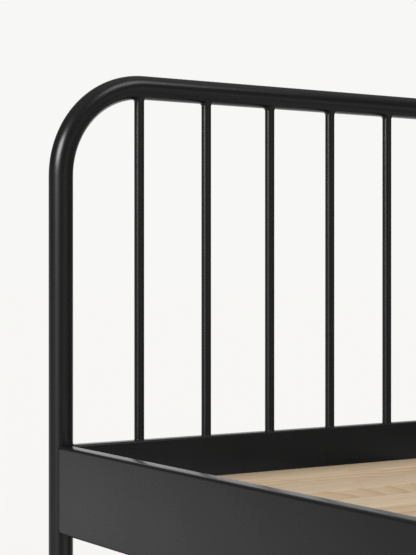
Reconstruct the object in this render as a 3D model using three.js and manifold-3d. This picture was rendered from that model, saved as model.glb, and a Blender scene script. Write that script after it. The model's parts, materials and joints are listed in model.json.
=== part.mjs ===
// Spindle bed frame for a 140 x 200 cm mattress: two welded tube ends, two bolted side rails,
// a centre beam on two screw-adjustable legs, and a deck of wooden slats.
// Millimetres, +Z up. +Y points to the head end, X runs across the bed, and the origin is on the
// floor under the middle of the frame.
import * as THREE from "three";
import { mergeVertices } from "three/addons/utils/BufferGeometryUtils.js";
import Module from "manifold-3d";

const wasm = await Module();
wasm.setup();

// ---- driving dimensions ----
const GAP = 0.3; // left between pieces that touch
const HOLE_CLEARANCE = 0.4; // round a screw, and where an end is cut to the hoop
const COPE_CLEARANCE = 0.6; // round a straight post, where the cutter has flats
const SHEET = 1.5; // wall of every steel tube

const POST_SPAN = 1434; // across the bed, between post centres
const END_SPAN = 2036; // along the bed, between post centres
const TUBE_R = 19; // 38 mm bent tube
const BEND_R = 147; // bend of the tube's centreline
const BEND_STEPS = 8;
const HEAD_HEIGHT = 1000; // top of the head end
const FOOT_HEIGHT = 600; // top of the foot end
const TUBE_BASE = 7; // underside of the posts, on their caps

const SPINDLE_COUNT = 10;
const SPINDLE_PITCH = 128;
const SPINDLE_R = 8;
const SPINDLE_SHEET = 1;

const RAIL_TOP = 415;
const RAIL_HEIGHT = 135;
const RAIL_WIDTH = 25;
const RAIL_CORNER_R = 3;

const SLAT_COUNT = 13;
const SLAT_PITCH = 160;
const SLAT_WIDTH = 80;
const SLAT_THICKNESS = 18;
const SLAT_LENGTH = 1396;
const SLAT_EDGE_R = 3;
const SLAT_TOP = 350; // the face that carries the mattress

const LEDGE_WIDTH = 35;
const LEDGE_DROP = 30;
const LEDGE_SHEET = 3;
const LEDGE_END_CLEARANCE = 20; // from the line of the posts to the end of a ledge

const BEAM_HEIGHT = 50;
const BEAM_WIDTH = 30;
const BEAM_CORNER_R = 2.5;
const HANGER_SHEET = 3;
const HANGER_REACH = 45;
const HANGER_PLATE_WIDTH = 70;
const HANGER_DROP = 8; // top of the hanger below the top of the beam

const LEG_OFFSET = 340; // centre legs, either side of the middle
const LEG_R = 16;
const LEG_BASE = 32;
const LEG_PLATE = { x: 50, y: 90, z: 4 };
const LEG_PLUG_DEPTH = 24;

const STEM_R = 4; // M8 screw of a levelling foot
const STEM_TOP = 78;
const STEM_NUT = { r: 7.5, height: 5 };
const PAD = { r: 21, height: 9, edge: 2, rim: 5, shoulder: 9 };

const BOLT_R = 4; // M8 frame bolt
const BOLT_HEIGHTS = [RAIL_TOP - 35, RAIL_TOP - RAIL_HEIGHT + 35];
const BOLT_REACH = 54; // from the post centre into the side rail
const BOLT_HEAD_R = 7;
const BOLT_HEAD_HEIGHT = 4.5;
const SADDLE_R = 10;
const SADDLE_STAND = 3; // the saddle washer's flat, out from the tube
const SOCKET_R = 2.9;
const SOCKET_DEPTH = 2.6;
const END_PLATE = { near: 26, thickness: 4 }; // nut plate inside a side rail, from the post centre
const NUT = { r: 7.5, height: 7 };

const CAP = { height: 30, edge: 1.5, clearance: 1.2 }; // plastic foot of a post

// Sides of the polygons that stand for round sections.
const SIDES = { tube: 20, bore: 12, cope: 24, leg: 16, small: 12, smallBore: 8 };

// ---- derived places ----
const POST_X = POST_SPAN / 2;
const POST_Y = END_SPAN / 2;
const RAIL_BOTTOM = RAIL_TOP - RAIL_HEIGHT;
const RAIL_MID = RAIL_TOP - RAIL_HEIGHT / 2;
const RAIL_INNER_X = POST_X - RAIL_WIDTH / 2;
const RAIL_INNER_Y = POST_Y - RAIL_WIDTH / 2;
const SLAT_UNDER = SLAT_TOP - SLAT_THICKNESS;
const LEDGE_TOP = SLAT_UNDER - GAP;
const BEAM_TOP = LEDGE_TOP;
const BEAM_UNDER = BEAM_TOP - BEAM_HEIGHT;

// ---- finishes ----
const powderCoat = new THREE.MeshStandardMaterial({ color: 0x2a2a2b, roughness: 0.45, metalness: 0.1 });
const blackSteel = new THREE.MeshStandardMaterial({ color: 0x1d1d1f, roughness: 0.35, metalness: 0.8 });
const zincSteel = new THREE.MeshStandardMaterial({ color: 0xa7a9ab, roughness: 0.35, metalness: 0.9 });
const blackPlastic = new THREE.MeshStandardMaterial({ color: 0x18181a, roughness: 0.6, metalness: 0 });
const pine = new THREE.MeshStandardMaterial({ color: 0xd9bb8c, roughness: 0.7, metalness: 0 });

// ---- solids ----
function solid(geometry) {
  const bare = geometry.clone();
  bare.deleteAttribute("normal");
  bare.deleteAttribute("uv");
  const merged = mergeVertices(bare, 1e-3);
  const mesh = new wasm.Mesh({
    numProp: 3,
    vertProperties: merged.attributes.position.array,
    triVerts: new Uint32Array(merged.index.array),
  });
  return new wasm.Manifold(mesh);
}

function geometryOf(manifold) {
  const mesh = manifold.getMesh();
  const geometry = new THREE.BufferGeometry();
  geometry.setAttribute("position", new THREE.BufferAttribute(mesh.vertProperties, 3));
  geometry.setIndex(new THREE.BufferAttribute(mesh.triVerts, 1));
  geometry.computeVertexNormals();
  return geometry;
}

function cut(base, ...cutters) {
  return cutters.reduce((left, cutter) => left.subtract(cutter), base);
}

function join(...pieces) {
  return pieces.reduce((sum, piece) => sum.add(piece));
}

// ---- stock shapes ----
// A cylinder of vertex radius r along "x", "y" or "z", from start to end on that axis.
function rod(axis, r, start, end, sides, x = 0, y = 0, z = 0) {
  const geometry = new THREE.CylinderGeometry(r, r, end - start, sides);
  if (axis === "x") geometry.rotateZ(Math.PI / 2);
  if (axis === "z") geometry.rotateX(Math.PI / 2);
  const middle = (start + end) / 2;
  geometry.translate(
    x + (axis === "x" ? middle : 0),
    y + (axis === "y" ? middle : 0),
    z + (axis === "z" ? middle : 0),
  );
  return solid(geometry);
}

function block(low, high) {
  const size = high.map((value, i) => value - low[i]);
  const geometry = new THREE.BoxGeometry(...size);
  geometry.translate(...low.map((value, i) => value + size[i] / 2));
  return solid(geometry);
}

function roundedRectangle(width, height, r) {
  const shape = new THREE.Shape();
  const [a, b] = [width / 2, height / 2];
  shape.moveTo(-a + r, -b);
  shape.lineTo(a - r, -b);
  shape.absarc(a - r, -b + r, r, -Math.PI / 2, 0);
  shape.lineTo(a, b - r);
  shape.absarc(a - r, b - r, r, 0, Math.PI / 2);
  shape.lineTo(-a + r, b);
  shape.absarc(-a + r, b - r, r, Math.PI / 2, Math.PI);
  shape.lineTo(-a, -b + r);
  shape.absarc(-a + r, -b + r, r, Math.PI, 1.5 * Math.PI);
  return shape;
}

// A rounded bar along "x" or "y", centred on its section, from -length/2 to +length/2.
function bar(axis, length, width, height, r) {
  const shape = roundedRectangle(width, height, r);
  const options = { depth: length, bevelEnabled: false, curveSegments: 2 };
  const geometry = new THREE.ExtrudeGeometry(shape, options);
  geometry.translate(0, 0, -length / 2);
  geometry.rotateX(Math.PI / 2);
  if (axis === "x") geometry.rotateZ(Math.PI / 2);
  return solid(geometry);
}

function boxTube(axis, length, width, height, r) {
  const bore = bar(axis, length + 2, width - 2 * SHEET, height - 2 * SHEET, r - SHEET / 2);
  return cut(bar(axis, length, width, height, r), bore);
}

// A path through given stations, with one ring of the swept section at each.
class StationPath extends THREE.Curve {
  constructor(stations) {
    super();
    this.stations = stations;
  }

  getPoint(t, target = new THREE.Vector3()) {
    const place = t * (this.stations.length - 1);
    const i = Math.min(Math.floor(place), this.stations.length - 2);
    return target.lerpVectors(this.stations[i], this.stations[i + 1], place - i);
  }

  getPointAt(u, target) {
    return this.getPoint(u, target);
  }

  getTangentAt(u, target) {
    return this.getTangent(u, target);
  }
}

// Centreline of an end hoop: up one post, over both bends, and down the other post.
function hoopPath(height, base) {
  const top = height - TUBE_R;
  const bendX = POST_X - BEND_R;
  const bendZ = top - BEND_R;
  const stations = [new THREE.Vector3(-POST_X, 0, base)];
  for (const side of [-1, 1]) {
    for (let i = 0; i <= BEND_STEPS; i++) {
      const share = side < 0 ? i : BEND_STEPS - i;
      const angle = (share / BEND_STEPS) * (Math.PI / 2);
      const x = side * (bendX + BEND_R * Math.cos(angle));
      stations.push(new THREE.Vector3(x, 0, bendZ + BEND_R * Math.sin(angle)));
    }
  }
  stations.push(new THREE.Vector3(POST_X, 0, base));
  return new StationPath(stations);
}

function sweptTube(path, r, sides) {
  const section = new THREE.Shape();
  section.absarc(0, 0, r, 0, 2 * Math.PI);
  const steps = path.stations.length - 1;
  const options = { steps, extrudePath: path, curveSegments: sides / 2, bevelEnabled: false };
  return solid(new THREE.ExtrudeGeometry(section, options));
}

function lathe(points, sides) {
  const profile = points.map(([r, z]) => new THREE.Vector2(r, z));
  const geometry = new THREE.LatheGeometry(profile, sides);
  geometry.rotateX(Math.PI / 2);
  return solid(geometry);
}

// ---- the two welded ends ----
// What a neighbour of the hoop is cut back by, so that it seats on the tube.
function hoopSaddle(height) {
  return sweptTube(hoopPath(height, TUBE_BASE - 20), TUBE_R + HOLE_CLEARANCE, SIDES.tube);
}

function endHoop(height) {
  const outer = sweptTube(hoopPath(height, TUBE_BASE), TUBE_R, SIDES.tube);
  const bore = sweptTube(hoopPath(height, TUBE_BASE - 1), TUBE_R - SHEET, SIDES.bore);
  const holes = [];
  for (const x of [-POST_X, POST_X]) {
    for (const z of BOLT_HEIGHTS) {
      holes.push(rod("y", BOLT_R + HOLE_CLEARANCE, -TUBE_R - 5, TUBE_R + 5, SIDES.smallBore, x, 0, z));
    }
  }
  return cut(outer, bore, ...holes);
}

function crossRail(saddle) {
  const rail = boxTube("x", POST_SPAN, RAIL_WIDTH, RAIL_HEIGHT, RAIL_CORNER_R);
  return cut(rail.translate(0, 0, RAIL_MID), saddle);
}

function spindle(x, height, saddle) {
  const top = height - TUBE_R;
  const base = RAIL_TOP + GAP;
  const outer = rod("z", SPINDLE_R, base, top, SIDES.small, x);
  const bore = rod("z", SPINDLE_R - SPINDLE_SHEET, base - 1, top + 1, SIDES.smallBore, x);
  return cut(outer, bore, saddle);
}

function footCap() {
  const neck = TUBE_R - SHEET - CAP.clearance;
  const seat = TUBE_BASE - GAP;
  const flange = [[TUBE_R - CAP.edge, 0], [TUBE_R, CAP.edge], [TUBE_R, seat]];
  return lathe([[0, 0], ...flange, [neck, seat], [neck, CAP.height], [0, CAP.height]], SIDES.leg);
}

// ---- side rails and the deck's supports ----
// A side rail: box tube with a nut plate welded inside each end, its ends coped to the posts.
function sideRail() {
  const posts = [-POST_Y, POST_Y].map((y) => {
    return rod("z", TUBE_R + COPE_CLEARANCE, RAIL_BOTTOM - 20, RAIL_TOP + 20, SIDES.cope, 0, y);
  });
  const holes = [];
  const plates = [];
  for (const side of [-1, 1]) {
    const near = side * (POST_Y - END_PLATE.near);
    const far = near - side * END_PLATE.thickness;
    const nutEnd = far - side * NUT.height;
    const inset = SHEET - 0.5;
    plates.push(
      block(
        [-RAIL_WIDTH / 2 + inset, Math.min(near, far), RAIL_BOTTOM + inset],
        [RAIL_WIDTH / 2 - inset, Math.max(near, far), RAIL_TOP - inset],
      ),
    );
    for (const z of BOLT_HEIGHTS) {
      plates.push(rod("y", NUT.r, Math.min(far, nutEnd) - 0.5, Math.max(far, nutEnd) + 0.5, 6, 0, 0, z));
      const [start, end] = [Math.min(near, nutEnd) - 5, Math.max(near, nutEnd) + 5];
      holes.push(rod("y", BOLT_R + HOLE_CLEARANCE, start, end, SIDES.smallBore, 0, 0, z));
    }
  }
  const tube = boxTube("y", END_SPAN, RAIL_WIDTH, RAIL_HEIGHT, RAIL_CORNER_R).translate(0, 0, RAIL_MID);
  return cut(join(tube, ...plates), ...posts, ...holes);
}

// Angle under the slat ends on the left rail, reaching towards +X from the rail's inner face.
function slatLedge() {
  const half = POST_Y - LEDGE_END_CLEARANCE;
  const profile = new THREE.Shape([
    new THREE.Vector2(0, 0),
    new THREE.Vector2(0, -LEDGE_DROP),
    new THREE.Vector2(LEDGE_SHEET, -LEDGE_DROP),
    new THREE.Vector2(LEDGE_SHEET, -LEDGE_SHEET),
    new THREE.Vector2(LEDGE_WIDTH, -LEDGE_SHEET),
    new THREE.Vector2(LEDGE_WIDTH, 0),
  ]);
  const geometry = new THREE.ExtrudeGeometry(profile, { depth: 2 * half, bevelEnabled: false });
  geometry.translate(0, 0, -half);
  geometry.rotateX(Math.PI / 2);
  return solid(geometry);
}

function centreBeam() {
  const length = 2 * (RAIL_INNER_Y - HANGER_SHEET - 2 * GAP);
  const tube = boxTube("y", length, BEAM_WIDTH, BEAM_HEIGHT, BEAM_CORNER_R);
  return tube.translate(0, 0, BEAM_TOP - BEAM_HEIGHT / 2);
}

// Pocket on a cross rail that holds the beam's end, reaching towards -Y from the plane y = 0.
function beamHanger() {
  const inner = BEAM_WIDTH / 2 + GAP;
  const outer = inner + HANGER_SHEET;
  const floor = BEAM_UNDER - GAP;
  const cheekTop = BEAM_TOP - HANGER_DROP;
  const plate = HANGER_PLATE_WIDTH / 2;
  const back = block([-plate, -HANGER_SHEET, floor], [plate, 0, cheekTop]);
  const pocket = block([-outer, -HANGER_REACH, floor - HANGER_SHEET], [outer, -0.01, cheekTop]);
  const space = block([-inner, -HANGER_REACH - 1, floor], [inner, -HANGER_SHEET, cheekTop + 1]);
  return cut(join(back, pocket), space);
}

function centreLeg() {
  const top = BEAM_UNDER - GAP;
  const plateUnder = top - LEG_PLATE.z;
  const plugTop = LEG_BASE + LEG_PLUG_DEPTH;
  const tube = rod("z", LEG_R, LEG_BASE, plateUnder + 0.5, SIDES.leg);
  const bore = rod("z", LEG_R - SHEET, LEG_BASE - 1, plateUnder, SIDES.leg);
  const plug = rod("z", LEG_R - SHEET + 0.2, LEG_BASE, plugTop, SIDES.leg);
  const thread = rod("z", STEM_R + HOLE_CLEARANCE, LEG_BASE - 1, plugTop + 1, SIDES.small);
  const plate = block(
    [-LEG_PLATE.x / 2, -LEG_PLATE.y / 2, plateUnder],
    [LEG_PLATE.x / 2, LEG_PLATE.y / 2, top],
  );
  return cut(join(cut(tube, bore), plug, plate), thread);
}

// Pad, hexagon neck and stem of a levelling foot, standing on the floor.
function levellingFoot() {
  const rim = [[PAD.r - PAD.edge, 0], [PAD.r, PAD.edge], [PAD.r, PAD.rim]];
  const top = [[PAD.r - PAD.shoulder, PAD.height], [0, PAD.height]];
  const nut = rod("z", STEM_NUT.r, PAD.height - 1, PAD.height + STEM_NUT.height, 6);
  const stem = rod("z", STEM_R, PAD.height, STEM_TOP, SIDES.small);
  return join(lathe([[0, 0], ...rim, ...top], SIDES.leg), nut, stem);
}

// ---- fasteners ----
// Frame bolt with its saddle washer. Its axis is Y through the post centre at the origin; the head
// stands on the +Y side and the shank reaches towards -Y.
function frameBolt() {
  const seat = TUBE_R + SADDLE_STAND;
  const shank = rod("y", BOLT_R, -BOLT_REACH, seat + 1, SIDES.smallBore);
  const head = rod("y", BOLT_HEAD_R, seat - 0.5, seat + BOLT_HEAD_HEIGHT, SIDES.small);
  const washer = rod("y", SADDLE_R, TUBE_R - 5, seat, SIDES.small);
  const tube = rod("z", TUBE_R + COPE_CLEARANCE, -SADDLE_R - 1, SADDLE_R + 1, SIDES.cope);
  const top = seat + BOLT_HEAD_HEIGHT;
  const socket = rod("y", SOCKET_R, top - SOCKET_DEPTH, top + 1, 6);
  return cut(join(cut(washer, tube), head, shank), socket);
}

// ---- wooden deck ----
function slat() {
  return bar("x", SLAT_LENGTH, SLAT_WIDTH, SLAT_THICKNESS, SLAT_EDGE_R);
}

// ---- assembly ----
const bed = new THREE.Group();

function place(name, geometry, material, x = 0, y = 0, z = 0, parent = bed) {
  const mesh = new THREE.Mesh(geometry, material);
  mesh.name = name;
  mesh.position.set(x, y, z);
  parent.add(mesh);
  return mesh;
}

const twoDigits = (n) => String(n).padStart(2, "0");
const spindleX = (i) => (i - (SPINDLE_COUNT - 1) / 2) * SPINDLE_PITCH;
const boltGeometry = geometryOf(frameBolt());
const capGeometry = geometryOf(footCap());
const hangerGeometry = geometryOf(beamHanger());

// Each end is built facing +Y and turned round for the foot.
for (const [end, height, turn] of [["headboard", HEAD_HEIGHT, 0], ["footboard", FOOT_HEIGHT, Math.PI]]) {
  const group = new THREE.Group();
  const saddle = hoopSaddle(height);
  group.rotation.z = turn;
  group.position.y = turn ? -POST_Y : POST_Y;
  bed.add(group);
  place(`${end}_hoop`, geometryOf(endHoop(height)), powderCoat, 0, 0, 0, group);
  place(`${end}_cross_rail`, geometryOf(crossRail(saddle)), powderCoat, 0, 0, 0, group);
  for (let i = 0; i < SPINDLE_COUNT; i++) {
    const x = turn ? -spindleX(i) : spindleX(i);
    const geometry = geometryOf(spindle(x, height, saddle));
    place(`${end}_spindle_${twoDigits(i + 1)}`, geometry, powderCoat, 0, 0, 0, group);
  }
  for (const [side, direction] of [["left", -1], ["right", 1]]) {
    const x = (turn ? -1 : 1) * direction * POST_X;
    place(`${end}_foot_cap_${side}`, capGeometry, blackPlastic, x, 0, 0, group);
    BOLT_HEIGHTS.forEach((z, i) => {
      const level = i === 0 ? "upper" : "lower";
      place(`${end}_bolt_${side}_${level}`, boltGeometry, blackSteel, x, 0, z, group);
    });
  }
  const hangerY = -RAIL_WIDTH / 2 - GAP;
  place(`${end}_beam_hanger`, hangerGeometry, powderCoat, 0, hangerY, 0, group);
}

const railGeometry = geometryOf(sideRail());
const ledgeGeometry = geometryOf(slatLedge());
for (const [side, direction] of [["left", -1], ["right", 1]]) {
  place(`side_rail_${side}`, railGeometry, powderCoat, direction * POST_X);
  const ledge = place(`slat_ledge_${side}`, ledgeGeometry, powderCoat);
  ledge.position.set(direction * (RAIL_INNER_X - GAP), 0, LEDGE_TOP);
  if (direction > 0) ledge.rotation.z = Math.PI;
}

place("centre_beam", geometryOf(centreBeam()), powderCoat);
const legGeometry = geometryOf(centreLeg());
const footGeometry = geometryOf(levellingFoot());
for (const [end, direction] of [["headward", 1], ["footward", -1]]) {
  place(`centre_leg_${end}`, legGeometry, powderCoat, 0, direction * LEG_OFFSET);
  place(`levelling_foot_${end}`, footGeometry, zincSteel, 0, direction * LEG_OFFSET);
}

const slatGeometry = geometryOf(slat());
for (let i = 0; i < SLAT_COUNT; i++) {
  const y = ((SLAT_COUNT - 1) / 2 - i) * SLAT_PITCH;
  place(`slat_${twoDigits(i + 1)}`, slatGeometry, pine, 0, y, SLAT_TOP - SLAT_THICKNESS / 2);
}

export default bed;
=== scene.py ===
"""Looks of the spindle bed frame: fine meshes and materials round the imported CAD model.

Metres, in the model's own frame: +Z up, +Y towards the head end, the origin on the floor under the
middle. Places and main sizes are read from the CAD nodes' boxes, which don't give the bend's radius
or the wall. Other lengths are detail.
"""
import json
import math
import random

import bmesh
import bpy
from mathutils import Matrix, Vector, noise

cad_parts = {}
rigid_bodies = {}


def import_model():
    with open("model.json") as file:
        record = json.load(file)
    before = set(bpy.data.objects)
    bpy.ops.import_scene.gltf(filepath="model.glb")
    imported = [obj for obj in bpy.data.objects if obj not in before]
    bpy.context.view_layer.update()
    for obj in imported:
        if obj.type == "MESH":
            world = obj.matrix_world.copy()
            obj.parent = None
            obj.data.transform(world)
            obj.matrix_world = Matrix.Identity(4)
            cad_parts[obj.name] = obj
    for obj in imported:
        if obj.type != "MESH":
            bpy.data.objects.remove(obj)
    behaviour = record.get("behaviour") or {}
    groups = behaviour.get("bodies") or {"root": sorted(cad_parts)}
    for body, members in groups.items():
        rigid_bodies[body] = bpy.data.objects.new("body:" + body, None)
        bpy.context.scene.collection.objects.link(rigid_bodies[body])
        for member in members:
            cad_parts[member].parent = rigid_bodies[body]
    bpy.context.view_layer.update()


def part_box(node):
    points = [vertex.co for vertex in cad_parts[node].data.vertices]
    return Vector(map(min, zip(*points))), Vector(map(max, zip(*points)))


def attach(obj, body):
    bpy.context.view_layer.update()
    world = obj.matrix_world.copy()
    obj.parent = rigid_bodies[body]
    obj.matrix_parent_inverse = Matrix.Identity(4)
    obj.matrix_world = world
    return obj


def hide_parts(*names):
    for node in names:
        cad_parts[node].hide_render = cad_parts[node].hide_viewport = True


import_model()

MM = 0.001
HALF_TURN = math.pi
FULL_TURN = 2 * math.pi

# ---------------------------------------------------------------- places and sizes from the frame


def middle(node):
    low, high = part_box(node)
    return (low + high) / 2


def extent(node):
    low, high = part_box(node)
    return high - low


POST_X = middle("headboard_foot_cap_right").x
POST_Y = middle("headboard_foot_cap_right").y
TUBE_R = extent("headboard_hoop").y / 2
TUBE_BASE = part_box("headboard_hoop")[0].z
HOOP_TOP = {"headboard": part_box("headboard_hoop")[1].z, "footboard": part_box("footboard_hoop")[1].z}
END_SIGN = {"headboard": 1, "footboard": -1}
SPINDLE_R = extent("headboard_spindle_01").x / 2
SPINDLE_X = [middle(f"headboard_spindle_{i:02d}").x for i in range(1, 11)]
RAIL_LOW, RAIL_HIGH = (corner.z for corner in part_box("side_rail_left"))
RAIL_MID = (RAIL_LOW + RAIL_HIGH) / 2
RAIL_HEIGHT = RAIL_HIGH - RAIL_LOW
RAIL_WIDTH = extent("side_rail_left").x
RAIL_INNER_X = POST_X - RAIL_WIDTH / 2
SLAT_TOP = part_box("slat_01")[1].z
SLAT_SIZE = extent("slat_01")
SLATS = [f"slat_{i:02d}" for i in range(1, 14)]
BEAM_LOW, BEAM_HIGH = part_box("centre_beam")
LEGS = ("headward", "footward")
BOLT_HEIGHTS = [middle(f"headboard_bolt_left_{level}").z for level in ("upper", "lower")]

# The CAD's own bend and wall, and the rails' rounding, which is 3 mm in the CAD.
BEND_R = 147 * MM
WALL = 1.5 * MM
RAIL_CORNER_R = 4.6 * MM
BOLT_HOLE_R = 4.4 * MM
FRAME = "frame"

# ---------------------------------------------------------------- camera

# From the left head post's centre and the rail's top to the eye, in metres, and where it looks.
EYE = (-1.0881, -2.1128, 0.2682)
LOOK_RIGHT, LOOK_DOWN = 32.78, 0.167
LENS, SENSOR = 98.56, 36


def make_camera():
    """Eye level below the headboard's top, looking at the left head post across the bed."""
    data = bpy.data.cameras.new("camera")
    camera = bpy.data.objects.new("camera", data)
    bpy.context.collection.objects.link(camera)
    data.sensor_width = SENSOR
    data.lens = LENS
    data.clip_start, data.clip_end = 0.05, 200
    camera.location = (-POST_X + EYE[0], POST_Y + EYE[1], RAIL_HIGH + EYE[2])
    camera.rotation_euler = (math.radians(90 - LOOK_DOWN), 0, math.radians(-LOOK_RIGHT))
    bpy.context.scene.camera = camera


make_camera()

# ---------------------------------------------------------------- materials


class Nodes:
    """Short calls for building the node tree of a material or the world."""

    def __init__(self, owner, coordinates="Object"):
        owner.use_nodes = True
        self.owner = owner
        self.tree = owner.node_tree
        self.place = self.add("ShaderNodeTexCoord").outputs[coordinates]

    def add(self, kind, **settings):
        node = self.tree.nodes.new(kind)
        for key, value in settings.items():
            setattr(node, key, value)
        return node

    def link(self, source, target):
        self.tree.links.new(source, target)

    def feed(self, socket, value):
        if hasattr(value, "is_output"):
            self.link(value, socket)
        else:
            socket.default_value = value

    def noise(self, scale, detail=3, roughness=0.5, vector=None):
        node = self.add("ShaderNodeTexNoise")
        self.link(vector or self.place, node.inputs["Vector"])
        node.inputs["Scale"].default_value = scale
        node.inputs["Detail"].default_value = detail
        node.inputs["Roughness"].default_value = roughness
        return node.outputs["Fac"]

    def math(self, operation, a, b=0.0, c=0.0):
        node = self.add("ShaderNodeMath", operation=operation)
        for socket, value in zip(node.inputs, (a, b, c)):
            self.feed(socket, value)
        return node.outputs[0]

    def remap(self, value, low, high, new_low, new_high):
        node = self.add("ShaderNodeMapRange")
        for key, entry in zip(("Value", "From Min", "From Max", "To Min", "To Max"),
                              (value, low, high, new_low, new_high)):
            self.feed(node.inputs[key], entry)
        return node.outputs[0]

    def ramp(self, value, *stops):
        node = self.add("ShaderNodeValToRGB")
        self.link(value, node.inputs[0])
        elements = node.color_ramp.elements
        while len(elements) < len(stops):
            elements.new(0.5)
        for element, (place, colour) in zip(elements, stops):
            element.position = place
            element.color = (*colour, 1)
        return node.outputs[0]

    def mix(self, share, a, b):
        node = self.add("ShaderNodeMix", data_type="RGBA")
        self.feed(node.inputs["Factor"], share)
        for socket, value in ((node.inputs[6], a), (node.inputs[7], b)):
            self.feed(socket, (*value, 1) if isinstance(value, tuple) else value)
        return node.outputs[2]

    def stretched(self, x, y, z):
        node = self.add("ShaderNodeMapping")
        self.link(self.place, node.inputs["Vector"])
        node.inputs["Scale"].default_value = (x, y, z)
        return node.outputs[0]

    def bump(self, height, distance, strength=1.0, normal=None):
        node = self.add("ShaderNodeBump")
        self.link(height, node.inputs["Height"])
        node.inputs["Distance"].default_value = distance
        node.inputs["Strength"].default_value = strength
        if normal:
            self.link(normal, node.inputs["Normal"])
        return node.outputs[0]

    def finish(self, colour, roughness, normal, **plain):
        shader = self.tree.nodes["Principled BSDF"]
        self.feed(shader.inputs["Base Color"], colour)
        self.feed(shader.inputs["Roughness"], roughness)
        self.link(normal, shader.inputs["Normal"])
        for key, value in plain.items():
            shader.inputs[key.replace("_", " ")].default_value = value
        return self.owner


def material(name):
    return Nodes(bpy.data.materials.new(name))


def powder_coat():
    """Satin black powder coat: fine orange peel, with slow drifts of tone and gloss."""
    m = material("black_powder_coat")
    drift = m.noise(9, 2)
    speck = m.noise(900, 2)
    colour = m.mix(drift, (0.0076, 0.0076, 0.0078), (0.0094, 0.0093, 0.0093))
    colour = m.mix(m.remap(speck, 0.66, 0.74, 0, 0.3), colour, (0.016, 0.016, 0.016))
    slow_gloss = m.remap(drift, 0.3, 0.7, 0.26, 0.295)
    roughness = m.math("ADD", slow_gloss, m.remap(speck, 0.3, 0.7, -0.015, 0.015))
    peel = m.bump(m.noise(560, 2), 0.00001, 0.3)
    fine = m.bump(speck, 0.000003, 0.3, peel)
    return m.finish(colour, roughness, fine)


def black_steel():
    """Black zinc-plated screws: dark metal with a faint bronze drift."""
    m = material("black_steel")
    drift = m.noise(160, 3)
    colour = m.mix(drift, (0.035, 0.036, 0.040), (0.060, 0.056, 0.052))
    roughness = m.remap(drift, 0.3, 0.7, 0.28, 0.42)
    return m.finish(colour, roughness, m.bump(m.noise(1500, 2), 0.00002, 0.5), Metallic=0.9)


def zinc():
    """Bright zinc plate, with a faint spangle and handling marks."""
    m = material("zinc_plated_steel")
    cells = m.add("ShaderNodeTexVoronoi")
    m.link(m.place, cells.inputs["Vector"])
    cells.inputs["Scale"].default_value = 420
    tone = m.add("ShaderNodeSeparateColor")
    m.link(cells.outputs["Color"], tone.inputs[0])
    cloud = m.noise(120, 3)
    colour = m.mix(tone.outputs[0], (0.52, 0.54, 0.57), (0.66, 0.67, 0.68))
    handled = m.remap(cloud, 0.3, 0.7, 0.24, 0.36)
    roughness = m.math("ADD", handled, m.remap(tone.outputs[0], 0, 1, 0, 0.08))
    return m.finish(colour, roughness, m.bump(m.noise(1800, 2), 0.00002, 0.4), Metallic=1.0)


def plastic():
    """Matt moulded plastic with a spark-eroded grain."""
    m = material("black_plastic")
    grain = m.noise(2200, 3)
    drift = m.noise(40, 2)
    colour = m.mix(drift, (0.011, 0.011, 0.0115), (0.017, 0.017, 0.0175))
    return m.finish(colour, m.remap(drift, 0.3, 0.7, 0.5, 0.6), m.bump(grain, 0.00005, 0.6))


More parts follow.
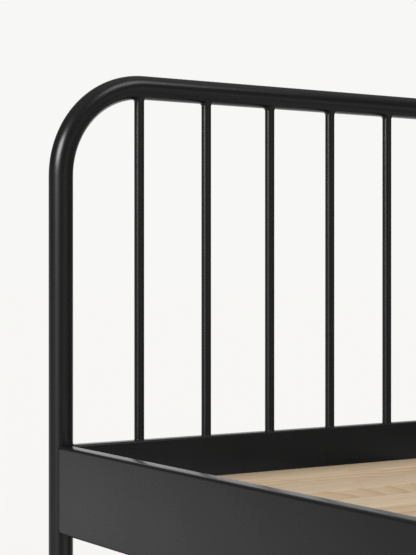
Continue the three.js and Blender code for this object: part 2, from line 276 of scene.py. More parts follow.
def pine():
    """Planed pine: growth rings cut lengthwise, end grain at the ends, fine fibres and a few knots.

    Each slat reads its own stretch of the ring field, shifted by a random draw for its row along Y."""
    m = material("pine")
    axes = m.add("ShaderNodeSeparateXYZ")
    m.link(m.place, axes.inputs[0])
    x, y, z = axes.outputs
    pitch = abs(middle("slat_01").y - middle("slat_02").y)
    row = m.math("ROUND", m.math("DIVIDE", y, pitch))
    draw = m.add("ShaderNodeTexWhiteNoise", noise_dimensions="1D")
    m.link(m.math("MULTIPLY", row, 7.31), draw.inputs["W"])
    luck = m.add("ShaderNodeSeparateColor")
    m.link(draw.outputs["Color"], luck.inputs[0])
    luck_a, luck_b, luck_c = luck.outputs
    across = m.math("SUBTRACT", y, m.math("MULTIPLY", row, pitch))
    # The log's axis runs almost along the slat, above or below it, and wanders.
    wander = m.noise(1.0, 2, vector=m.stretched(1.7, 6.25, 1))
    lean = m.remap(luck_a, 0, 1, -0.035, 0.035)
    centre_y = m.math("MULTIPLY_ADD", x, lean, m.remap(luck_b, 0, 1, -0.045, 0.045))
    centre_y = m.math("ADD", centre_y, m.remap(wander, 0.25, 0.75, -0.02, 0.02))
    centre_z = m.math("SUBTRACT", SLAT_TOP - 0.028, m.math("MULTIPLY", luck_c, 0.05))
    centre_z = m.math("MULTIPLY_ADD", wander, 0.02, centre_z)
    dy = m.math("SUBTRACT", across, centre_y)
    dz = m.math("SUBTRACT", z, centre_z)
    radius = m.math("SQRT", m.math("ADD", m.math("MULTIPLY", dy, dy), m.math("MULTIPLY", dz, dz)))
    # Knots push the rings aside.
    knots = m.add("ShaderNodeTexVoronoi", voronoi_dimensions="2D")
    spread = m.add("ShaderNodeCombineXYZ")
    m.link(m.math("MULTIPLY_ADD", x, 2.6, m.math("MULTIPLY", luck_a, 9)), spread.inputs[0])
    m.link(m.math("MULTIPLY_ADD", y, 5.2, m.math("MULTIPLY", luck_b, 3)), spread.inputs[1])
    m.link(spread.outputs[0], knots.inputs["Vector"])
    knots.inputs["Scale"].default_value = 1
    knot = knots.outputs["Distance"]
    pushed = m.math("MULTIPLY_ADD", m.remap(knot, 0.03, 0.14, 1, 0), 0.006, radius)
    rough_rings = m.math("MULTIPLY_ADD", m.noise(60, 3, vector=m.stretched(0.12, 1, 1)), 0.0016, pushed)
    phase = m.math("FRACT", m.math("DIVIDE", rough_rings, 0.0046))
    late = m.math("POWER", phase, 3.0)
    early = m.mix(m.noise(5, 3), (0.78, 0.63, 0.45), (0.73, 0.56, 0.375))
    colour = m.mix(m.math("MULTIPLY", late, 0.62), early, (0.52, 0.33, 0.18))
    fibres = m.noise(1.0, 5, 0.68, vector=m.stretched(22, 1300, 1300))
    colour = m.mix(m.remap(fibres, 0.42, 0.72, 0, 0.5), colour, (0.52, 0.35, 0.20))
    tint = m.remap(luck_c, 0, 1, 0.90, 1.05)
    tinted = m.add("ShaderNodeHueSaturation")
    m.link(colour, tinted.inputs["Color"])
    m.link(tint, tinted.inputs["Value"])
    dark = m.remap(knot, 0.018, 0.034, 0.9, 0)
    colour = m.mix(dark, tinted.outputs[0], (0.16, 0.067, 0.026))
    height = m.math("MULTIPLY_ADD", late, 0.4, m.math("MULTIPLY", fibres, 0.6))
    roughness = m.math("ADD", m.remap(fibres, 0.3, 0.7, 0.52, 0.66), m.math("MULTIPLY", late, -0.08))
    return m.finish(colour, roughness, m.bump(height, 0.00018, 0.7))


FINISH = {
    "black_powder_coat": powder_coat(),
    "black_steel": black_steel(),
    "zinc_plated_steel": zinc(),
    "black_plastic": plastic(),
    "pine": pine(),
}

# ---------------------------------------------------------------- mesh helpers


def build(rings, closed=False, mesh=None):
    """Quads between neighbouring rings of points. The ends are capped, or closed joins them to each other."""
    mesh = mesh or bmesh.new()
    loops = [[mesh.verts.new(point) for point in ring] for ring in rings]
    pairs = list(zip(loops, loops[1:]))
    if closed:
        pairs.append((loops[-1], loops[0]))
    for a, b in pairs:
        for i in range(len(a)):
            j = (i + 1) % len(a)
            mesh.faces.new((a[i], a[j], b[j], b[i]))
    if not closed:
        mesh.faces.new(loops[0][::-1])
        mesh.faces.new(loops[-1])
    return mesh


def piece(name, mesh, slot, nodes=(), body=FRAME, crease=35):
    """Turns a bmesh into a finished piece that rides on a body and stands for its CAD nodes."""
    bmesh.ops.recalc_face_normals(mesh, faces=mesh.faces)
    data = bpy.data.meshes.new(name)
    mesh.to_mesh(data)
    mesh.free()
    data.shade_smooth()
    data.set_sharp_from_angle(angle=math.radians(crease))
    data.materials.append(FINISH[slot])
    made = bpy.data.objects.new(name, data)
    bpy.context.collection.objects.link(made)
    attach(made, body)
    if nodes:
        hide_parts(*nodes)
    return made


def circle(r, sides, centre, u=Vector((1, 0, 0)), v=Vector((0, 1, 0))):
    turns = [FULL_TURN * i / sides for i in range(sides)]
    return [centre + r * (math.cos(a) * u + math.sin(a) * v) for a in turns]


def rounded_outline(width, height, r, steps=6):
    """Points (a, b) round a rectangle with round corners, centred on zero, anticlockwise."""
    points = []
    for turn, (sx, sy) in enumerate(((1, 1), (-1, 1), (-1, -1), (1, -1))):
        for i in range(steps + 1):
            angle = (turn + i / steps) * HALF_TURN / 2
            a = sx * (width / 2 - r) + r * math.cos(angle)
            b = sy * (height / 2 - r) + r * math.sin(angle)
            points.append((a, b))
    return points


def arc(a, b, r, start, end, steps=6):
    """Points on a circle round (a, b), between two angles in degrees."""
    turns = [math.radians(start + (end - start) * i / steps) for i in range(steps + 1)]
    return [(a + r * math.cos(turn), b + r * math.sin(turn)) for turn in turns]


# For each direction a turned solid can point in: its circles' two axes, and the direction itself.
TURNING_AXES = {
    "z": (Vector((1, 0, 0)), Vector((0, 1, 0)), Vector((0, 0, 1))),
    "y": (Vector((1, 0, 0)), Vector((0, 0, -1)), Vector((0, 1, 0))),
    "-y": (Vector((1, 0, 0)), Vector((0, 0, 1)), Vector((0, -1, 0))),
    "x": (Vector((0, 1, 0)), Vector((0, 0, 1)), Vector((1, 0, 0))),
    "-x": (Vector((0, 1, 0)), Vector((0, 0, -1)), Vector((-1, 0, 0))),
    "-z": (Vector((1, 0, 0)), Vector((0, -1, 0)), Vector((0, 0, -1))),
}


def turned(profile, sides, centre, axis="z", mesh=None):
    """A solid turned from (radius, height) points that start and end at radius zero."""
    mesh = mesh or bmesh.new()
    u, v, w = TURNING_AXES[axis]
    rings = [circle(r, sides, centre + h * w, u, v) for r, h in profile[1:-1]]
    loops = [[mesh.verts.new(point) for point in ring] for ring in rings]
    for a, b in zip(loops, loops[1:]):
        for i in range(sides):
            mesh.faces.new((a[i], a[(i + 1) % sides], b[(i + 1) % sides], b[i]))
    for loop, (_, h) in ((loops[0], profile[0]), (loops[-1], profile[-1])):
        tip = mesh.verts.new(centre + h * w)
        for i in range(sides):
            mesh.faces.new((loop[i], loop[(i + 1) % sides], tip))
    return mesh


def rounded(points, r, steps=4):
    """The same (radius, height) outline with its inner corners rounded to r."""
    out = [points[0]]
    for before, corner, after in zip(points, points[1:], points[2:]):
        p, q, s = (Vector(each) for each in (before, corner, after))
        back, on = p - q, s - q
        reach = min(r, back.length * 0.45, on.length * 0.45)
        if corner[0] <= 0 or reach < 1e-6:
            out.append(corner)
            continue
        start, end = q + back.normalized() * reach, q + on.normalized() * reach
        for i in range(steps + 1):
            t = i / steps
            bent = start * (1 - t) ** 2 + q * 2 * t * (1 - t) + end * t * t
            out.append((bent.x, bent.y))
    out.append(points[-1])
    return out


def weld_bead(path, r, seed, sides, mesh):
    """A round string along a closed path, with the ripple and unevenness of a hand weld."""
    count = len(path)
    rings = []
    run = 0.0
    for i, point in enumerate(path):
        tangent = (path[(i + 1) % count] - path[i - 1]).normalized()
        side = tangent.orthogonal().normalized()
        if abs(tangent.z) < 0.9:
            side = tangent.cross(Vector((0, 0, 1))).normalized()
        other = tangent.cross(side)
        run += (point - path[i - 1]).length if i else 0
        uneven = 1 + 0.16 * noise.noise(point * 160 + Vector((seed, 0, 0)))
        ripple = 1 + 0.045 * math.cos(FULL_TURN * run / (1.7 * MM))
        rings.append(circle(r * uneven * ripple, sides, point, side, other))
    build(rings, closed=True, mesh=mesh)


def cut_away(target, cutter):
    """Subtracts one mesh object from another for good, and removes the cutter."""
    modifier = target.modifiers.new("cut", "BOOLEAN")
    modifier.operation = "DIFFERENCE"
    modifier.solver = "EXACT"
    modifier.object = cutter
    graph = bpy.context.evaluated_depsgraph_get()
    result = bpy.data.meshes.new_from_object(target.evaluated_get(graph))
    target.modifiers.clear()
    target.data = result
    bpy.data.objects.remove(cutter)


# ---------------------------------------------------------------- the two welded ends


def hoop_stations(top):
    """(point, tangent angle from vertical) along the hoop's centreline in the plane y = 0."""
    bend_x = POST_X - BEND_R
    bend_z = top - TUBE_R - BEND_R
    steps = 28
    stations = [(Vector((-POST_X, 0, TUBE_BASE + h)), 0.0) for h in (0, 0.1, 0.2)]
    stations += [(Vector((-POST_X, 0, z)), 0.0) for z in (RAIL_LOW, RAIL_HIGH)]
    for i in range(steps + 1):
        angle = i / steps * HALF_TURN / 2
        point = Vector((-bend_x - BEND_R * math.cos(angle), 0, bend_z + BEND_R * math.sin(angle)))
        stations.append((point, angle))
    left = stations[:]
    stations += [(Vector((x * bend_x, 0, top - TUBE_R)), HALF_TURN / 2) for x in (-0.5, 0, 0.5)]
    stations += [(Vector((-p.x, 0, p.z)), HALF_TURN - angle) for p, angle in reversed(left)]
    return stations


def hoop_rings(top, r, sides=72):
    rings = []
    for point, angle in hoop_stations(top):
        outward = Vector((-math.cos(angle), 0, math.sin(angle)))
        rings.append(circle(r, sides, point, outward, Vector((0, 1, 0))))
    return rings


def make_hoop(end):
    """One bent tube with open ends and the four bolt holes through its posts."""
    outer = hoop_rings(HOOP_TOP[end], TUBE_R)
    inner = hoop_rings(HOOP_TOP[end], TUBE_R - WALL)
    shift = Vector((0, END_SIGN[end] * POST_Y, 0))
    rings = [[p + shift for p in ring] for ring in outer + inner[::-1]]
    made = piece(f"{end}_hoop_tube", build(rings, closed=True), "black_powder_coat", [f"{end}_hoop"])
    drill = bmesh.new()
    for side in (-1, 1):
        for z in BOLT_HEIGHTS:
            reach = TUBE_R + 5 * MM
            centre = Vector((side * POST_X, shift.y, z))
            hole = [(0, -reach), (BOLT_HOLE_R, -reach), (BOLT_HOLE_R, reach), (0, reach)]
            turned(hole, 24, centre, "y", drill)
    bmesh.ops.recalc_face_normals(drill, faces=drill.faces)
    data = bpy.data.meshes.new("drill")
    drill.to_mesh(data)
    drill.free()
    cutter = bpy.data.objects.new("drill", data)
    bpy.context.collection.objects.link(cutter)
    cut_away(made, cutter)
    made.data.set_sharp_from_angle(angle=math.radians(35))


def hoop_underside(top, x, y):
    """Height of the hoop's lower surface above a point of the floor plan near its top rail."""
    bend_x = POST_X - BEND_R
    bend_z = top - TUBE_R - BEND_R
    fall = BEND_R - math.sqrt(TUBE_R ** 2 - y ** 2)
    dx = max(abs(x) - bend_x, 0)
    return bend_z + math.sqrt(fall ** 2 - dx ** 2)


def rail_topside(x, y):
    """Height of a cross rail's upper surface, which rounds off towards its two long edges."""
    over = max(abs(y) - (RAIL_WIDTH / 2 - RAIL_CORNER_R), 0)
    return RAIL_HIGH - RAIL_CORNER_R + math.sqrt(max(RAIL_CORNER_R ** 2 - over ** 2, 0))


def fillet(x, surface, up, leg, seed, sides):
    """Rings from a spindle's wall out to a surface in a hollow weld fillet."""
    rings = []
    for step in range(9):
        swing = step / 8 * HALF_TURN / 2
        ring = []
        for i in range(sides):
            turn = FULL_TURN * i / sides
            c, s = math.cos(turn), math.sin(turn)
            lumps = noise.noise(Vector((3 * c + seed, 3 * s, seed)))
            reach = leg * (1 + 0.22 * lumps)
            r = SPINDLE_R + reach * (1 - math.cos(swing))
            height = surface(x + r * c, r * s)
            ring.append(Vector((x + r * c, r * s, height - up * reach * (1 - math.sin(swing)))))
        rings.append(ring)
    sunk = []
    for point in rings[-1]:
        sunk.append(Vector((point.x, point.y, point.z + up * 0.4 * MM)))
    return rings + [sunk]


def make_spindle(end, index):
    x = SPINDLE_X[index]
    sides = 48
    seed = index * 3.7 + END_SIGN[end] * 11
    top = HOOP_TOP[end]
    foot = fillet(x, rail_topside, -1, 1.4 * MM, seed, sides)[::-1]
    crown = fillet(x, lambda a, b: hoop_underside(top, a, b), 1, 4.2 * MM, seed + 40, sides)
    rings = foot + crown
    shift = Vector((0, END_SIGN[end] * POST_Y, 0))
    rings = [[p + shift for p in ring] for ring in rings]
    node = f"{end}_spindle_{index + 1:02d}"
    piece(f"{node}_tube", build(rings), "black_powder_coat", [node], crease=50)


def cope(offset):
    """How far a post's surface stands from its centre, at a sideways offset."""
    return math.sqrt(TUBE_R ** 2 - offset ** 2)


def make_cross_rail(end):
    """Box rail between the posts, cut to their curve, with a weld bead round each end."""
    y0 = END_SIGN[end] * POST_Y
    outline = rounded_outline(RAIL_WIDTH, RAIL_HEIGHT, RAIL_CORNER_R)

    def ring(place, tight=0.0):
        points = []
        for a, b in outline:
            x = place
            if abs(place) > 1:
                x = math.copysign(POST_X - cope(a) + tight, place)
            points.append(Vector((x, y0 + a, RAIL_MID + b)))
        return points

    rings = [ring(-2, 0.3 * MM), ring(-0.6), ring(0), ring(0.6), ring(2, 0.3 * MM)]
    piece(f"{end}_cross_rail_box", build(rings), "black_powder_coat", [f"{end}_cross_rail"])
    beads = bmesh.new()
    fine = rounded_outline(RAIL_WIDTH, RAIL_HEIGHT, RAIL_CORNER_R, 8)
    for side in (-1, 1):
        path = []
        for (a, b), (c, d) in zip(fine, fine[1:] + fine[:1]):
            length = math.hypot(c - a, d - b)
            cuts = max(1, round(length / (0.6 * MM)))
            for i in range(cuts):
                t = i / cuts
                across, up = a + (c - a) * t, b + (d - b) * t
                path.append(Vector((side * (POST_X - cope(across)), y0 + across, RAIL_MID + up)))
        weld_bead(path, 1.7 * MM, side * 5 + y0, 8, beads)
    piece(f"{end}_cross_rail_welds", beads, "black_powder_coat")


def make_foot_cap(end, side):
    node = f"{end}_foot_cap_{side}"
    centre = middle(node)
    low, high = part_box(node)
    r = (high.x - low.x) / 2
    seat = TUBE_BASE - 0.25 * MM
    neck = TUBE_R - WALL - 1.2 * MM
    outline = [(0, 0), (r - 1.6 * MM, 0), (r, 1.8 * MM), (r, seat)]
    outline += [(neck, seat), (neck, high.z), (0, high.z)]
    mesh = turned(rounded(outline, 0.9 * MM), 64, Vector((centre.x, centre.y, 0)))
    piece(f"{node}_moulding", mesh, "black_plastic", [node])


# ---------------------------------------------------------------- side rails and what they carry


def make_side_rail(side, direction):
    """Box rail whose ends follow the posts' curve across a hairline joint."""
    x0 = direction * POST_X
    joint = 0.35 * MM
    outline = rounded_outline(RAIL_WIDTH, RAIL_HEIGHT, RAIL_CORNER_R)
    bore = rounded_outline(RAIL_WIDTH - 2 * WALL, RAIL_HEIGHT - 2 * WALL, RAIL_CORNER_R - WALL)

    def ring(points, end, depth=0.0):
        made = []
        for a, b in points:
            y = end * (POST_Y - cope(a) - joint - depth)
            made.append(Vector((x0 + a, y, RAIL_MID + b)))
        return made

    rim = 0.3 * MM
    lip = rounded_outline(RAIL_WIDTH - 2 * rim, RAIL_HEIGHT - 2 * rim, RAIL_CORNER_R - rim)
    rings = [ring(bore, -1, 6 * MM), ring(bore, -1), ring(lip, -1), ring(outline, -1, rim)]
    rings += [[Vector((x0 + a, y, RAIL_MID + b)) for a, b in outline] for y in (-0.6, 0, 0.6)]
    rings += [ring(outline, 1, rim), ring(lip, 1), ring(bore, 1), ring(bore, 1, 6 * MM)]
    piece(f"side_rail_{side}_box", build(rings), "black_powder_coat", [f"side_rail_{side}"])


def make_ledge(side, direction):
    """Pressed steel angle: the slats rest on its flat leg, and its upright leg is plug-welded."""
    low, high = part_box(f"slat_ledge_{side}")
    sheet = 3 * MM
    width, drop = high.x - low.x, high.z - low.z
    bend = 3.5 * MM
    edge = 0.6 * MM
    outline = arc(bend + 0.4 * MM, -bend, bend + 0.4 * MM, 180, 90)
    outline += arc(width - edge, -edge, edge, 90, 0, 3)
    outline += arc(width - edge, -sheet + edge, edge, 0, -90, 3)
    outline += arc(bend + 0.4 * MM, -bend, 0.9 * MM, 90, 180, 4)
    outline += arc(sheet - edge, -drop + edge, edge, 0, -90, 3)
    outline += arc(edge, -drop + edge, edge, -90, -180, 3)
    x0 = direction * RAIL_INNER_X
    rings = []
    for y in (low.y, low.y + 0.5 * MM, 0, high.y - 0.5 * MM, high.y):
        rings.append([Vector((x0 - direction * (a + 0.2 * MM), y, high.z + b)) for a, b in outline])
    piece(f"slat_ledge_{side}_angle", build(rings), "black_powder_coat", [f"slat_ledge_{side}"])
    plugs = bmesh.new()
    count = 11
    for i in range(count):
        y = (i - (count - 1) / 2) * 0.18
        centre = Vector((x0 - direction * (sheet - 0.3 * MM), y, high.z - 20 * MM))
        dome = [(0, -1 * MM), (4 * MM, -1 * MM), (4 * MM, 0.2 * MM)]
        dome += [(3.2 * MM, 0.75 * MM), (0, 0.95 * MM)]
        turned(rounded(dome, 0.5 * MM), 20, centre, "-x" if direction > 0 else "x", plugs)
    piece(f"slat_ledge_{side}_plug_welds", plugs, "black_powder_coat")


def make_beam():
    centre = (BEAM_LOW + BEAM_HIGH) / 2
    size = BEAM_HIGH - BEAM_LOW
    corner = 3 * MM
    outer = rounded_outline(size.x, size.z, corner)
    bore = rounded_outline(size.x - 2 * WALL, size.z - 2 * WALL, corner - WALL)

    def ring(points, y):
        return [Vector((centre.x + a, y, centre.z + b)) for a, b in points]

    rings = [ring(outer, BEAM_LOW.y), ring(outer, 0), ring(outer, BEAM_HIGH.y)]
    rings += [ring(bore, BEAM_HIGH.y), ring(bore, 0), ring(bore, BEAM_LOW.y)]
    piece("centre_beam_box", build(rings, closed=True), "black_powder_coat", ["centre_beam"])


def screw_head(mesh, centre, axis, r):
    """A pan head with a round recess."""
    height = 2.6 * MM
    dome = [(0, -0.5 * MM), (r, -0.5 * MM), (r, height * 0.35), (r * 0.86, height * 0.75)]
    dome += [(r * 0.55, height), (r * 0.5, height), (r * 0.46, height * 0.45), (0, height * 0.4)]
    turned(rounded(dome, 0.35 * MM), 24, centre, axis, mesh)


def make_hanger(end):
    """Pressed bracket: a trough round the beam's end, and two wings screwed to the cross rail."""
    node = f"{end}_beam_hanger"
    low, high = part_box(node)
    sign = END_SIGN[end]
    sheet, fold, edge = 3 * MM, 4.5 * MM, 0.5 * MM
    wall_y = high.y if sign > 0 else low.y
    front = wall_y - sign * (high.y - low.y)
    wing = (high.x - low.x) / 2
    cheek = extent("centre_beam").x / 2 + 0.3 * MM
    outer = cheek + sheet
    trough = [(-outer, high.z)] + arc(-outer + fold, low.z + fold, fold, 180, 270)
    trough += arc(outer - fold, low.z + fold, fold, 270, 360) + [(outer, high.z), (cheek, high.z)]
    hollow = fold - sheet
    trough += arc(cheek - hollow, low.z + fold, hollow, 360, 270, 3)
    trough += arc(-cheek + hollow, low.z + fold, hollow, 270, 180, 3) + [(-cheek, high.z)]
    mesh = build([[Vector((a, y, b)) for a, b in trough] for y in (wall_y, front)])
    for side in (-1, 1):
        middle_x = side * (wing + cheek + sheet / 2) / 2
        middle_z = (low.z + high.z + fold) / 2
        half = (wing - cheek - sheet / 2) / 2
        outline = rounded_outline(2 * half, high.z - low.z - fold - 0.2 * MM, 1.5 * MM, 3)
        plate = []
        for y in (wall_y, wall_y - sign * sheet):
            plate.append([Vector((middle_x + a, y, middle_z + b)) for a, b in outline])
        build(plate, mesh=mesh)
    bmesh.ops.recalc_face_normals(mesh, faces=mesh.faces)
    sharp = [line for line in mesh.edges if line.calc_face_angle(0) > HALF_TURN / 3]
    bmesh.ops.bevel(mesh, geom=sharp, offset=edge, segments=2, affect="EDGES", profile=0.5)
    piece(f"{node}_bracket", mesh, "black_powder_coat", [node], crease=40)
    heads = bmesh.new()
    mid_z = (low.z + high.z) / 2
    for side in (-1, 1):
        on_wing = Vector((side * (wing - 7.5 * MM), wall_y - sign * sheet, mid_z))
        screw_head(heads, on_wing, "-y" if sign > 0 else "y", 4.2 * MM)
        on_cheek = Vector((side * outer, wall_y - sign * 28 * MM, mid_z))
        screw_head(heads, on_cheek, "x" if side > 0 else "-x", 4.2 * MM)
    piece(f"{node}_screws", heads, "black_steel")


def make_centre_leg(which):
    """Tube welded to a top plate, with two screws up into the beam and a threaded plug below."""
    node = f"centre_leg_{which}"
    low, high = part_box(node)
    centre = (low + high) / 2
    r = 16 * MM
    plate_z = 4 * MM
    axis = Vector((centre.x, centre.y, 0))
    mesh = bmesh.new()
    width, depth, corner = high.x - low.x, high.y - low.y, 6 * MM
    plate = [(a + centre.x, b + centre.y) for a, b in rounded_outline(width, depth, corner)]
    inset = 0.5 * MM
    slim = rounded_outline(width - 2 * inset, depth - 2 * inset, corner - inset)
    slim = [(a + centre.x, b + centre.y) for a, b in slim]
    rings = []
    for points, z in ((slim, high.z - plate_z), (plate, high.z - plate_z + inset),
                      (plate, high.z - inset), (slim, high.z)):
        rings.append([Vector((a, b, z)) for a, b in points])
    build(rings, mesh=mesh)
    under = high.z - plate_z
    bead = 3 * MM
    tube = [(0, under), (r + bead, under + 0.2 * MM), (r + bead, under - 0.1 * MM)]
    for i in range(1, 7):
        swing = i / 6 * HALF_TURN / 2
        tube.append((r + bead * (1 - math.sin(swing)), under - bead * (1 - math.cos(swing))))
    tube += [(r, low.z + 0.6 * MM), (r - 0.5 * MM, low.z), (r - WALL, low.z), (r - WALL, low.z + 4 * MM)]
    turned(tube + [(0, low.z + 4 * MM)], 56, axis, mesh=mesh)
    piece(f"{node}_tube", mesh, "black_powder_coat", [node], crease=40)
    plug = [(0, low.z + 12 * MM), (r - WALL, low.z + 12 * MM), (r - WALL, low.z + 0.8 * MM)]
    plug += [(r - WALL - 0.8 * MM, low.z), (6.6 * MM, low.z), (6.6 * MM, low.z + 3 * MM)]
    plug += [(4.4 * MM, low.z + 3 * MM), (4.4 * MM, low.z + 11 * MM), (0, low.z + 11 * MM)]
    piece(f"{node}_plug", turned(plug, 48, axis), "black_plastic")
    heads = bmesh.new()
    for side in (-1, 1):
        screw_head(heads, Vector((centre.x, centre.y + side * 33 * MM, under)), "-z", 4.8 * MM)
    piece(f"{node}_screws", heads, "black_steel")


def make_levelling_foot(which):
    """Pad, hexagon nut and an M8 stem with its thread."""
    node = f"levelling_foot_{which}"
    body = f"{which}_foot"
    low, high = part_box(node)
    centre = (low + high) / 2
    axis = Vector((centre.x, centre.y, 0))
    r = (high.x - low.x) / 2
    pad_z = 9 * MM
    outline = [(0, 0), (r - 1.6 * MM, 0), (r, 1.6 * MM), (r, 4.6 * MM), (r - 2.5 * MM, 6 * MM)]
    outline += [(r - 9 * MM, pad_z), (0, pad_z)]
    piece(f"{node}_pad", turned(rounded(outline, 1.1 * MM), 64, axis), "black_plastic", body=body)
    steel = bmesh.new()
    corner_r, nut_z = 7.5 * MM, 5 * MM
    nut_top = pad_z + nut_z
    chamfers = ((pad_z - 0.5 * MM, 0.8 * MM), (pad_z, 0), (nut_top - 0.6 * MM, 0), (nut_top, 0.9 * MM))
    nut = []
    for z, chamfer in chamfers:
        nut.append(circle(corner_r - chamfer, 6, axis + Vector((0, 0, z))))
    build(nut, mesh=steel)
    pitch, depth, sides = 1.25 * MM, 0.62 * MM, 28
    start, end = nut_top - 0.5 * MM, high.z
    count = round((end - start) / pitch * 6)
    rings = []
    for i in range(count + 1):
        z = start + (end - start) * i / count
        ring = []
        for k in range(sides):
            turn = k / sides
            wave = ((z - start) / pitch - turn) % 1
            ridge = 1 - abs(2 * wave - 1)
            blend = min(1.0, (z - start) / pitch, (end - z) / pitch)
            radius = 4 * MM - depth * (1 - max(0.0, min(1.0, ridge * 1.3)) * blend)
            ring.append(Vector((centre.x + radius * math.cos(FULL_TURN * turn),
                                centre.y + radius * math.sin(FULL_TURN * turn), z)))
        rings.append(ring)
    build(rings, mesh=steel)
    piece(f"{node}_stem", steel, "zinc_plated_steel", [node], body=body, crease=60)


# ---------------------------------------------------------------- frame bolts


def make_bolt(end, side, level):
    """Button-head bolt with a hexagon socket on a saddle washer that fits the tube."""
    node = f"{end}_bolt_{side}_{level}"
    low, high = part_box(node)
    sign = END_SIGN[end]
    centre = Vector((middle(node).x, sign * POST_Y, middle(node).z))
    axis = "y" if sign > 0 else "-y"
    outer_tip = abs(high.y if sign > 0 else low.y) - POST_Y
    inner_tip = abs(low.y if sign > 0 else high.y) - POST_Y
    washer_r, seat = 10 * MM, TUBE_R + 3 * MM
    mesh = bmesh.new()
    sides = 48
    out = Vector((0, sign, 0))
    loops = []
    for r, kind in ((BOLT_HOLE_R, "flat"), (washer_r - 1 * MM, "flat"), (washer_r - 0.3 * MM, "edge"),
                    (washer_r, "rim"), (washer_r, "saddle"), (BOLT_HOLE_R, "saddle")):
        ring = []
        for i in range(sides):
            turn = FULL_TURN * i / sides
            dx, dz = r * math.cos(turn), r * math.sin(turn)
            height = {"flat": seat, "edge": seat - 0.3 * MM, "rim": seat - 1 * MM,
                      "saddle": cope(dx) + 0.1 * MM}[kind]
            ring.append(centre + Vector((dx, 0, dz)) + out * height)
        loops.append(ring)
    build(loops, closed=True, mesh=mesh)
    head_r, socket = 7 * MM, 2.9 * MM
    head_height = outer_tip - seat
    dome = [(0, inner_tip), (3.4 * MM, inner_tip), (4 * MM, inner_tip + 0.8 * MM), (4 * MM, seat)]
    dome += [(head_r - 0.3 * MM, seat), (head_r, seat + 0.5 * MM), (head_r, seat + head_height * 0.3)]
    for i in range(1, 6):
        swing = i / 5 * HALF_TURN / 2
        narrowing = 2.6 * MM * (1 - math.cos(swing))
        dome.append((head_r - narrowing, seat + head_height * (0.3 + 0.7 * math.sin(swing))))
    sides = 36
    u, v = Vector((1, 0, 0)), Vector((0, 0, 1))
    shank_and_head = [circle(r, sides, centre + out * h, u, v) for r, h in dome[1:]]
    hexagon = []
    for i in range(sides):
        turn = FULL_TURN * i / sides
        within = (turn % (HALF_TURN / 3)) - HALF_TURN / 6
        r = socket * math.cos(HALF_TURN / 6) / math.cos(within)
        hexagon.append(Vector((r * math.cos(turn), 0, r * math.sin(turn))))
    for grow, depth in ((1.12, 0), (1.0, 0.3 * MM), (1.0, 2.6 * MM), (0.5, 3.1 * MM)):
        shank_and_head.append([centre + out * (outer_tip - depth) + point * grow for point in hexagon])
    build(shank_and_head, mesh=mesh)
    piece(f"{node}_set", mesh, "black_steel", [node])


# ---------------------------------------------------------------- wooden deck


def make_slat(index):
    """A planed board with eased edges, very slightly cupped like real timber."""
    node = SLATS[index]
    low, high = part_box(node)
    size = high - low
    centre = (low + high) / 2
    draw = random.Random(index * 17 + 5)
    r = 2.6 * MM
    cup = draw.uniform(-0.2, 0.2) * MM
    steps = 40
    outline = rounded_outline(size.y, size.z, r, 5)
    rings = []
    stations = [(-size.x / 2, 1.0 * MM), (-size.x / 2 + 0.5 * MM, 0.3 * MM), (-size.x / 2 + 1.2 * MM, 0)]
    stations += [(size.x * (i / steps - 0.5), 0) for i in range(1, steps)]
    stations += [(size.x / 2 - 1.2 * MM, 0), (size.x / 2 - 0.5 * MM, 0.3 * MM), (size.x / 2, 1.0 * MM)]
    for x, shrink in stations:
        ring = []
        for a, b in outline:
            a2 = a * (1 - 2 * shrink / size.y)
            b2 = b * (1 - 2 * shrink / size.z)
            hollow = cup * ((2 * a / size.y) ** 2 - 1) if b > 0 else 0
            ring.append(Vector((centre.x + x, centre.y + a2, centre.z + b2 - abs(hollow))))
        rings.append(ring)
    board = piece(f"{node}_board", build(rings), "pine", [node])
    # The brown of the boards would tint the black coat's gloss.
    board.visible_glossy = False


def make_slat_screws():
    """A countersunk cross-slot screw at each end of every slat, down into the ledge."""
    mesh = bmesh.new()
    inset = SLAT_SIZE.x / 2 - 18 * MM
    for index, node in enumerate(SLATS):
        y = middle(node).y
        for side in (-1, 1):
            draw = random.Random(index * 2 + side)
            centre = Vector((side * inset, y, SLAT_TOP + 0.02 * MM))
            spin = draw.uniform(0, HALF_TURN)
            r = 4 * MM
            cross = []
            count = 48
            for i in range(count):
                turn = FULL_TURN * i / count
                lobe = abs(math.cos(2 * turn)) ** 6
                cross.append((0.75 * MM + 1.5 * MM * lobe, turn + spin))
            rings = []
            taper = ((1.0 * MM, -6 * MM), (r - 0.9 * MM, -1.2 * MM), (r, -0.35 * MM), (r - 0.2 * MM, 0))
            for radius, z in taper:
                ring = [(radius * math.cos(t), radius * math.sin(t), z) for _, t in cross]
                rings.append([centre + Vector(point) for point in ring])
            for grow, z in ((1.0, 0), (0.7, -1.5 * MM)):
                ring = [(grow * c * math.cos(t), grow * c * math.sin(t), z) for c, t in cross]
                rings.append([centre + Vector(point) for point in ring])
            build(rings, mesh=mesh)
    screws = piece("slat_screws", mesh, "zinc_plated_steel")
    # Without the boards, the screws would hang alone in the gloss.
    screws.visible_glossy = False


# ---------------------------------------------------------------- assembly

for end_name in ("headboard", "footboard"):
    make_hoop(end_name)
    make_cross_rail(end_name)
    make_hanger(end_name)
    for number in range(len(SPINDLE_X)):
        make_spindle(end_name, number)
    for side_name in ("left", "right"):
        make_foot_cap(end_name, side_name)
        for level_name in ("upper", "lower"):
            make_bolt(end_name, side_name, level_name)

for side_name, way in (("left", -1), ("right", 1)):
    make_side_rail(side_name, way)
    make_ledge(side_name, way)

make_beam()
for leg_name in LEGS:
    make_centre_leg(leg_name)
    make_levelling_foot(leg_name)
for number in range(len(SLATS)):
    make_slat(number)
make_slat_screws()

# ---------------------------------------------------------------- floor and light

BACKDROP = (0.935, 0.93, 0.915)

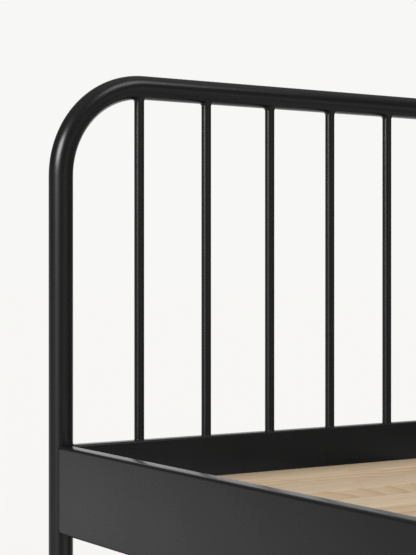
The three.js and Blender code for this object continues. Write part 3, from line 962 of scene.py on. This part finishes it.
# How bright the dim room is that the gloss shows, from straight down (-1) to straight up (1).
ROOM_TONES = (
    (-1, 0.32),
    (-0.5, 0.29),
    (-0.35, 0.22),
    (-0.17, 0.15),
    (0, 0.10),
    (0.25, 0.07),
    (0.5, 0.10),
    (0.87, 0.2),
    (1, 0.36),
)

# Soft boxes and pale surfaces that the gloss shows: azimuth, elevation, spread (degrees), strength.
GLOWS = (
    (-118, 9, 6.5, 1.3),
    (-112, -4, 16, 0.7),
    (-103, 10, 5, 1.4),
    (-72, -15, 9, 0.6),
    (152, -12, 9, 0.55),
    (178, -12, 9, 0.5),
    (168, 3, 8, 0.26),
    (95, -24, 11, 0.2),
    (90, 60, 15, 0.18),
    (-27, -8.5, 9, 0.66),
    (24, 5, 15, 0.95),
    (57, -19, 9, 1.6),
    (35, -32, 12, 0.35),
)


def bearing(azimuth, elevation):
    """The direction at an angle from +Y towards +X, and an angle up, in degrees."""
    around, up = math.radians(azimuth), math.radians(elevation)
    return Vector((math.sin(around) * math.cos(up), math.cos(around) * math.cos(up), math.sin(up)))


def make_floor():
    """A pale disc that glows a little, so the shadows on it stay soft. Reflections see the world instead."""
    data = bpy.data.meshes.new("floor")
    mesh = bmesh.new()
    bmesh.ops.create_circle(mesh, cap_ends=True, segments=96, radius=60)
    mesh.to_mesh(data)
    mesh.free()
    floor = bpy.data.objects.new("floor", data)
    bpy.context.collection.objects.link(floor)
    floor.location.z = -0.2 * MM
    paint = bpy.data.materials.new("pale_floor")
    paint.use_nodes = True
    shader = paint.node_tree.nodes["Principled BSDF"]
    shader.inputs["Base Color"].default_value = (0.50, 0.497, 0.490, 1)
    shader.inputs["Roughness"].default_value = 0.9
    shader.inputs["Specular IOR Level"].default_value = 0
    shader.inputs["Emission Color"].default_value = (*BACKDROP, 1)
    shader.inputs["Emission Strength"].default_value = 0.48
    data.materials.append(paint)
    floor.visible_glossy = False


def soft_sun(azimuth, elevation, spread, strength):
    """A far, wide lamp for shading and soft shadows. Reflections see the world's glows instead."""
    data = bpy.data.lights.new("soft_sun", "SUN")
    data.energy = strength
    data.angle = math.radians(spread)
    lamp = bpy.data.objects.new("soft_sun", data)
    bpy.context.collection.objects.link(lamp)
    lamp.rotation_euler = bearing(azimuth, elevation).to_track_quat("Z", "Y").to_euler()
    lamp.visible_glossy = False


def soft_box(location, target, width, height, power):
    """A lamp that only the gloss shows."""
    data = bpy.data.lights.new("soft_box", "AREA")
    data.shape = "ELLIPSE"
    data.size, data.size_y = width, height
    data.energy = power
    lamp = bpy.data.objects.new("soft_box", data)
    bpy.context.collection.objects.link(lamp)
    lamp.location = location
    lamp.rotation_euler = (target - location).to_track_quat("-Z", "Y").to_euler()
    lamp.visible_camera = False
    lamp.visible_diffuse = False
    return lamp


def light_spindles():
    """A narrow soft box for the spindles alone, which draws the thin bright line down each one."""
    target = Vector((-0.32, POST_Y, 0.85))
    lamp = soft_box(target + 2.5 * bearing(-101, 8), target, width=0.5, height=0.5, power=6)
    spindles = bpy.data.collections.new("spindles")
    for made in bpy.data.objects:
        if "_spindle_" in made.name and made.name.endswith("_tube"):
            spindles.objects.link(made)
    lamp.light_linking.receiver_collection = spindles


def make_world():
    """White to the camera, an even white to matt surfaces, and a dim room with soft boxes to gloss."""
    world = bpy.data.worlds.new("studio")
    bpy.context.scene.world = world
    w = Nodes(world, "Generated")
    rays = w.add("ShaderNodeLightPath").outputs
    split = w.add("ShaderNodeSeparateXYZ")
    w.link(w.place, split.inputs[0])
    stops = [(height / 2 + 0.5, (tone,) * 3) for height, tone in ROOM_TONES]
    light = w.ramp(w.remap(split.outputs[2], -1, 1, 0, 1), *stops)
    for azimuth, elevation, spread, strength in GLOWS:
        dot = w.add("ShaderNodeVectorMath", operation="DOT_PRODUCT")
        w.link(w.place, dot.inputs[0])
        dot.inputs[1].default_value = bearing(azimuth, elevation)
        fall = w.math("MULTIPLY", w.math("SUBTRACT", dot.outputs["Value"], 1), math.radians(spread) ** -2)
        light = w.math("MULTIPLY_ADD", w.math("EXPONENT", fall), strength, light)
    colour = w.mix(rays["Is Glossy Ray"], (0.86, 0.856, 0.847), light)
    colour = w.mix(rays["Is Camera Ray"], colour, BACKDROP)
    w.link(colour, w.tree.nodes["Background"].inputs["Color"])


make_floor()
make_world()
soft_sun(azimuth=-113, elevation=50, spread=40, strength=0.45)
post_and_bend, top_rail = Vector((-0.71, 1.018, 0.87)), Vector((-0.6, 1.018, 0.98))
soft_box(Vector((-1.794, 0.558, 1.419)), post_and_bend, width=0.8, height=0.56, power=14)
soft_box(Vector((0.13, -0.415, 2.66)), top_rail, width=1.3, height=1.0, power=11)
light_spindles()

scene = bpy.context.scene
scene.view_settings.view_transform = "Standard"
scene.view_settings.look = "None"
